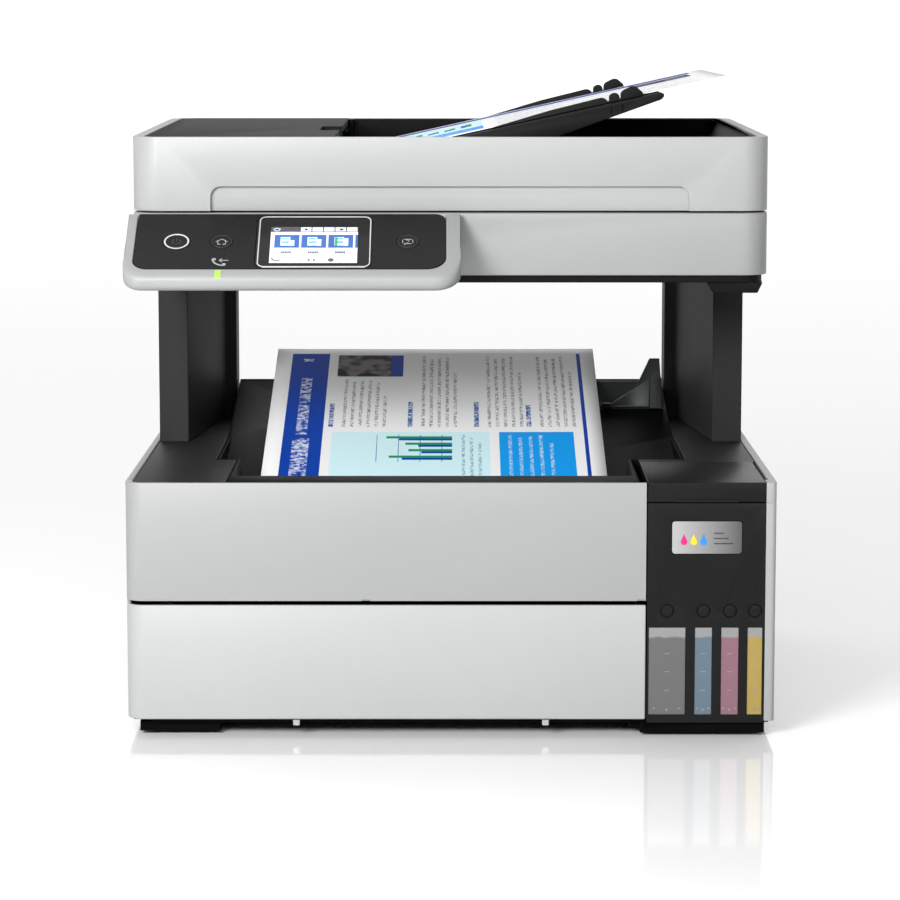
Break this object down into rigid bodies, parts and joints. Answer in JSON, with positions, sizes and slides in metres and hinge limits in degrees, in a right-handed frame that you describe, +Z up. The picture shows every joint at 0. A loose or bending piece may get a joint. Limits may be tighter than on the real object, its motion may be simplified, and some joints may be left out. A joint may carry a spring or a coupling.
{
  "type": "inkjet printer",
  "caption": "Desktop inkjet printer with refillable ink tanks, a front paper cassette, a flatbed scanner, a document feeder and a tilting control panel.",
  "frame": {"origin": "on the floor, under the middle of the whole object", "axes": "+X to the right as seen from the front, +Y towards the rear, +Z up"},
  "size_m": [0.375, 0.347, 0.3795],
  "materials": {
    "white_shell": "fine moulded texture, satin",
    "dark_shell": "fine moulded texture, satin",
    "panel_gloss": "polished",
    "screen_gloss": "polished",
    "tank_clear": "translucent, polished",
    "stopper_smoke": "translucent smoke grey",
    "sheet_steel": "zinc plated",
    "motor_metal": "satin",
    "pinion_brass": "machined",
    "rubber": "matt",
    "roller_grey": "matt",
    "inner_plastic": "moulded",
    "grey_plastic": "moulded",
    "glass_clear": "clear",
    "circuit_board": "solder mask",
    "sheet_paper": "plain office paper",
    "pad_foam": "white foam skin",
    "cap_black": "moulded",
    "cap_cyan": "moulded",
    "cap_magenta": "moulded",
    "cap_yellow": "moulded"
  },
  "bodies": {
    "base": {"base_tray": "dark_shell", "left_side_cover": "white_shell", "right_side_cover": "white_shell", "front_cover": "white_shell", "rear_panel": "dark_shell", "top_deck": "dark_shell", "left_column": "dark_shell", "right_column": "dark_shell", "ink_tank_housing": "dark_shell", "ink_tank_black": "tank_clear", "ink_tank_colour": "tank_clear", "engine_frame": "sheet_steel", "carriage_belt": "rubber", "drive_motors": "motor_metal", "paper_guide": "inner_plastic", "capping_station": "grey_plastic", "main_board": "circuit_board", "power_supply": "inner_plastic", "feet": "rubber", "scanner_case": "dark_shell", "scanner_frame": "white_shell", "scan_glass": "glass_clear", "lid_hinges": "dark_shell"},
    "carriage": {"print_carriage": "inner_plastic", "print_head": "grey_plastic"},
    "motor_pulley": {"motor_pulley": "grey_plastic"},
    "idler_pulley": {"idler_pulley": "grey_plastic"},
    "feed_roller": {"feed_roller": "roller_grey"},
    "motor_pinion": {"motor_pinion": "pinion_brass"},
    "exit_roller": {"exit_roller": "roller_grey"},
    "pickup_roller": {"pickup_roller": "rubber"},
    "cassette": {"cassette_tray": "dark_shell", "cassette_front": "white_shell"},
    "guide_left": {"cassette_guide_left": "grey_plastic"},
    "guide_right": {"cassette_guide_right": "grey_plastic"},
    "output_tray": {"output_tray": "dark_shell"},
    "stopper": {"paper_stopper": "stopper_smoke"},
    "page": {"printed_page": "sheet_paper"},
    "tank_lid": {"tank_lid": "dark_shell"},
    "cap_black": {"tank_cap_black": "cap_black"},
    "cap_cyan": {"tank_cap_cyan": "cap_cyan"},
    "cap_magenta": {"tank_cap_magenta": "cap_magenta"},
    "cap_yellow": {"tank_cap_yellow": "cap_yellow"},
    "control_panel": {"panel_frame": "white_shell", "panel_face": "panel_gloss", "panel_screen": "screen_gloss"},
    "power_button": {"power_button": "panel_gloss"},
    "home_button": {"home_button": "panel_gloss"},
    "help_button": {"help_button": "panel_gloss"},
    "lid": {"adf_frame": "white_shell", "adf_top": "dark_shell", "backing_pad": "pad_foam"},
    "feeder_cover": {"adf_cover": "dark_shell"},
    "input_tray": {"adf_input_tray": "dark_shell"},
    "feeder_guide_front": {"adf_guide_front": "dark_shell"},
    "feeder_guide_rear": {"adf_guide_rear": "dark_shell"},
    "document": {"adf_document": "sheet_paper"},
    "feeder_roller": {"adf_pickup_roller": "rubber"},
    "scan_head": {"scan_carriage": "inner_plastic"},
    "rear_cover": {"rear_cover": "dark_shell"}
  },
  "joints": [
    {"name": "carriage_slide", "type": "slide", "parent": "base", "child": "carriage", "axis": [1, 0, 0], "range_m": [-0.262, 0]},
    {"name": "motor_pulley_spin", "type": "hinge", "parent": "base", "child": "motor_pulley", "pos_m": [0.163, 0.032, 0.122], "axis": [0, 1, 0], "range_deg": [0, 1950]},
    {"name": "idler_pulley_spin", "type": "hinge", "parent": "base", "child": "idler_pulley", "pos_m": [-0.152, 0.032, 0.122], "axis": [0, 1, 0], "range_deg": [0, 1950]},
    {"name": "feed_roller_spin", "type": "hinge", "parent": "base", "child": "feed_roller", "pos_m": [0, 0.0465, 0.083], "axis": [1, 0, 0], "continuous": true},
    {"name": "motor_pinion_spin", "type": "hinge", "parent": "base", "child": "motor_pinion", "pos_m": [-0.169, 0.0465, 0.1087], "axis": [1, 0, 0], "continuous": true},
    {"name": "exit_roller_spin", "type": "hinge", "parent": "base", "child": "exit_roller", "pos_m": [0, -0.146, 0.104], "axis": [1, 0, 0], "continuous": true},
    {"name": "pickup_roller_spin", "type": "hinge", "parent": "base", "child": "pickup_roller", "pos_m": [0, 0.118, 0.0735], "axis": [1, 0, 0], "continuous": true},
    {"name": "cassette_slide", "type": "slide", "parent": "base", "child": "cassette", "axis": [0, -1, 0], "range_m": [0, 0.25]},
    {"name": "guide_left_slide", "type": "slide", "parent": "cassette", "child": "guide_left", "axis": [1, 0, 0], "range_m": [-0.0025, 0.05]},
    {"name": "guide_right_slide", "type": "slide", "parent": "cassette", "child": "guide_right", "axis": [-1, 0, 0], "range_m": [-0.0025, 0.05]},
    {"name": "output_tray_hinge", "type": "hinge", "parent": "base", "child": "output_tray", "pos_m": [0, 0.152, 0.16], "axis": [-1, 0, 0], "range_deg": [0, 16]},
    {"name": "stopper_hinge", "type": "hinge", "parent": "output_tray", "child": "stopper", "pos_m": [0, 0.098, 0.1609], "axis": [-1, 0, 0], "range_deg": [0, 72]},
    {"name": "page_slide", "type": "slide", "parent": "output_tray", "child": "page", "axis": [0, 0.9668, 0.2554], "range_m": [0, 0.12]},
    {"name": "tank_lid_hinge", "type": "hinge", "parent": "base", "child": "tank_lid", "pos_m": [0.1473, -0.0832, 0.1468], "axis": [-1, 0, 0], "range_deg": [0, 85]},
    {"name": "cap_black_hinge", "type": "hinge", "parent": "base", "child": "cap_black", "pos_m": [0.12705, -0.12, 0.106], "axis": [-1, 0, 0], "range_deg": [0, 80]},
    {"name": "cap_cyan_hinge", "type": "hinge", "parent": "base", "child": "cap_cyan", "pos_m": [0.14615, -0.12, 0.106], "axis": [-1, 0, 0], "range_deg": [0, 80]},
    {"name": "cap_magenta_hinge", "type": "hinge", "parent": "base", "child": "cap_magenta", "pos_m": [0.16105, -0.12, 0.106], "axis": [-1, 0, 0], "range_deg": [0, 80]},
    {"name": "cap_yellow_hinge", "type": "hinge", "parent": "base", "child": "cap_yellow", "pos_m": [0.1734, -0.12, 0.106], "axis": [-1, 0, 0], "range_deg": [0, 80]},
    {"name": "panel_tilt", "type": "hinge", "parent": "base", "child": "control_panel", "pos_m": [-0.09, -0.1247, 0.295], "axis": [-1, 0, 0], "range_deg": [0, 30]},
    {"name": "power_button_press", "type": "slide", "parent": "control_panel", "child": "power_button", "axis": [0, 0.5299, -0.848], "range_m": [0, 0.0007], "stiffness_N_per_m": 300},
    {"name": "home_button_press", "type": "slide", "parent": "control_panel", "child": "home_button", "axis": [0, 0.5299, -0.848], "range_m": [0, 0.0007], "stiffness_N_per_m": 300},
    {"name": "help_button_press", "type": "slide", "parent": "control_panel", "child": "help_button", "axis": [0, 0.5299, -0.848], "range_m": [0, 0.0007], "stiffness_N_per_m": 300},
    {"name": "lid_hinge", "type": "hinge", "parent": "base", "child": "lid", "pos_m": [0, 0.17, 0.3095], "axis": [-1, 0, 0], "range_deg": [0, 75]},
    {"name": "feeder_cover_hinge", "type": "hinge", "parent": "lid", "child": "feeder_cover", "pos_m": [-0.1773, 0.029, 0.34411], "axis": [0, -1, -0.0068], "range_deg": [0, 58]},
    {"name": "input_tray_fold", "type": "hinge", "parent": "lid", "child": "input_tray", "pos_m": [-0.045, 0.029, 0.325], "axis": [0, 1, 0], "range_deg": [0, 12.4]},
    {"name": "feeder_guide_front_slide", "type": "slide", "parent": "input_tray", "child": "feeder_guide_front", "axis": [0, -1, 0], "range_m": [0, 0.003]},
    {"name": "feeder_guide_rear_slide", "type": "slide", "parent": "input_tray", "child": "feeder_guide_rear", "axis": [0, 1, 0], "range_m": [0, 0.003]},
    {"name": "document_slide", "type": "slide", "parent": "lid", "child": "document", "axis": [0.9767, 0, 0.2147], "range_m": [0, 0.12]},
    {"name": "feeder_roller_spin", "type": "hinge", "parent": "lid", "child": "feeder_roller", "pos_m": [-0.1, 0.029, 0.3325], "axis": [0, 1, 0], "continuous": true},
    {"name": "scan_head_slide", "type": "slide", "parent": "base", "child": "scan_head", "axis": [1, 0, 0], "range_m": [0, 0.28]},
    {"name": "rear_cover_slide", "type": "slide", "parent": "base", "child": "rear_cover", "axis": [0, 1, 0], "range_m": [0, 0.06]}
  ],
  "couplings": [
    {"joint": "motor_pulley_spin", "follows": "carriage_slide", "rad_per_m": -129.03},
    {"joint": "idler_pulley_spin", "follows": "carriage_slide", "rad_per_m": -129.03},
    {"joint": "motor_pinion_spin", "follows": "feed_roller_spin", "ratio": -3},
    {"joint": "exit_roller_spin", "follows": "feed_roller_spin", "ratio": -0.857},
    {"joint": "guide_right_slide", "follows": "guide_left_slide", "ratio": 1},
    {"joint": "feeder_guide_rear_slide", "follows": "feeder_guide_front_slide", "ratio": 1}
  ]
}
